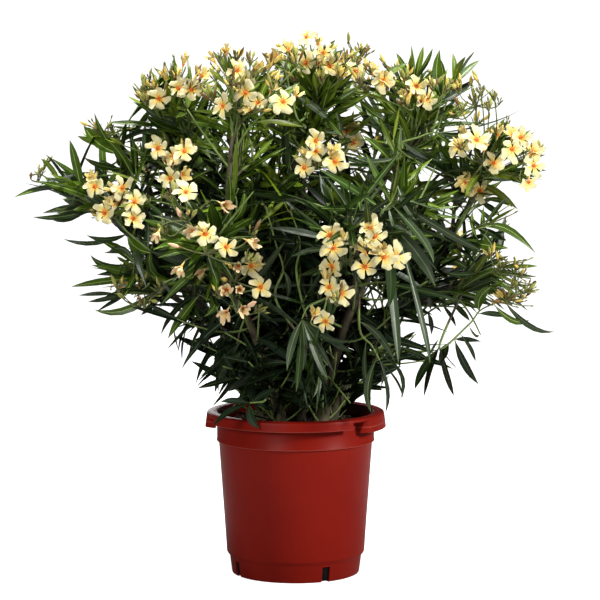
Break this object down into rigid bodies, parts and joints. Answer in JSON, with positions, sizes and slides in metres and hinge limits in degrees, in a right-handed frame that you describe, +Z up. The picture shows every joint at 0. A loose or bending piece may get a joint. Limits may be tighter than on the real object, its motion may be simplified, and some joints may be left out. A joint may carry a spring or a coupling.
{
  "type": "potted oleander",
  "caption": "Bushy evergreen oleander shrub with woody stems, narrow leaves and pale cream blossom, growing in a red plastic nursery container.",
  "frame": {"origin": "centre of the pot's flat underside, on the surface that the pot stands on", "axes": "+Z up along the pot's axis, -Y towards the viewer of the plant's front, +X to that viewer's right"},
  "size_m": [0.9898, 0.7066, 1.0002],
  "materials": {
    "pot": "satin brick-red moulded plastic",
    "soil": "dark crumbly potting mix",
    "bark": "grey-brown bark with fine cracks and leaf scars",
    "green_bark": "smooth green young bark",
    "foliage": "leathery leaves, dark green with a pale midrib",
    "blossom": "soft pale cream petals with an orange throat"
  },
  "bodies": {
    "root": {"bough_back_left_high": "green_bark", "bough_back_left_low": "green_bark", "bough_back_middle_high": "green_bark", "bough_back_middle_low": "green_bark", "bough_back_right_high": "green_bark", "bough_back_right_low": "green_bark", "bough_front_middle": "green_bark", "bough_left_arm": "green_bark", "bough_left_front": "green_bark", "bough_left_high": "green_bark", "bough_left_low": "green_bark", "bough_low_back_left": "green_bark", "bough_low_back_right": "green_bark", "bough_low_left": "green_bark", "bough_low_middle": "green_bark", "bough_low_right": "green_bark", "bough_mid_left": "green_bark", "bough_mid_right": "green_bark", "bough_right_high": "green_bark", "bough_right_low": "green_bark", "bough_top_left": "green_bark", "bough_top_mid_left": "green_bark", "bough_top_middle": "green_bark", "bough_top_right": "green_bark", "foliage_back_left_high": "foliage", "foliage_back_left_low": "foliage", "foliage_back_middle_high": "foliage", "foliage_back_middle_low": "foliage", "foliage_back_right_high": "foliage", "foliage_back_right_low": "foliage", "foliage_front_middle": "foliage", "foliage_left_arm": "foliage", "foliage_left_front": "foliage", "foliage_left_high": "foliage", "foliage_left_low": "foliage", "foliage_low_back_left": "foliage", "foliage_low_back_right": "foliage", "foliage_low_left": "foliage", "foliage_low_middle": "foliage", "foliage_low_right": "foliage", "foliage_mid_left": "foliage", "foliage_mid_right": "foliage", "foliage_right_high": "foliage", "foliage_right_low": "foliage", "foliage_top_left": "foliage", "foliage_top_mid_left": "foliage", "foliage_top_middle": "foliage", "foliage_top_right": "foliage", "pot": "pot", "soil": "soil", "stem_back_left": "bark", "stem_back_right": "bark", "stem_front_left": "bark", "stem_front_right": "bark", "stem_left": "bark", "stem_middle": "bark", "stem_right": "bark"}
  },
  "joints": []
}
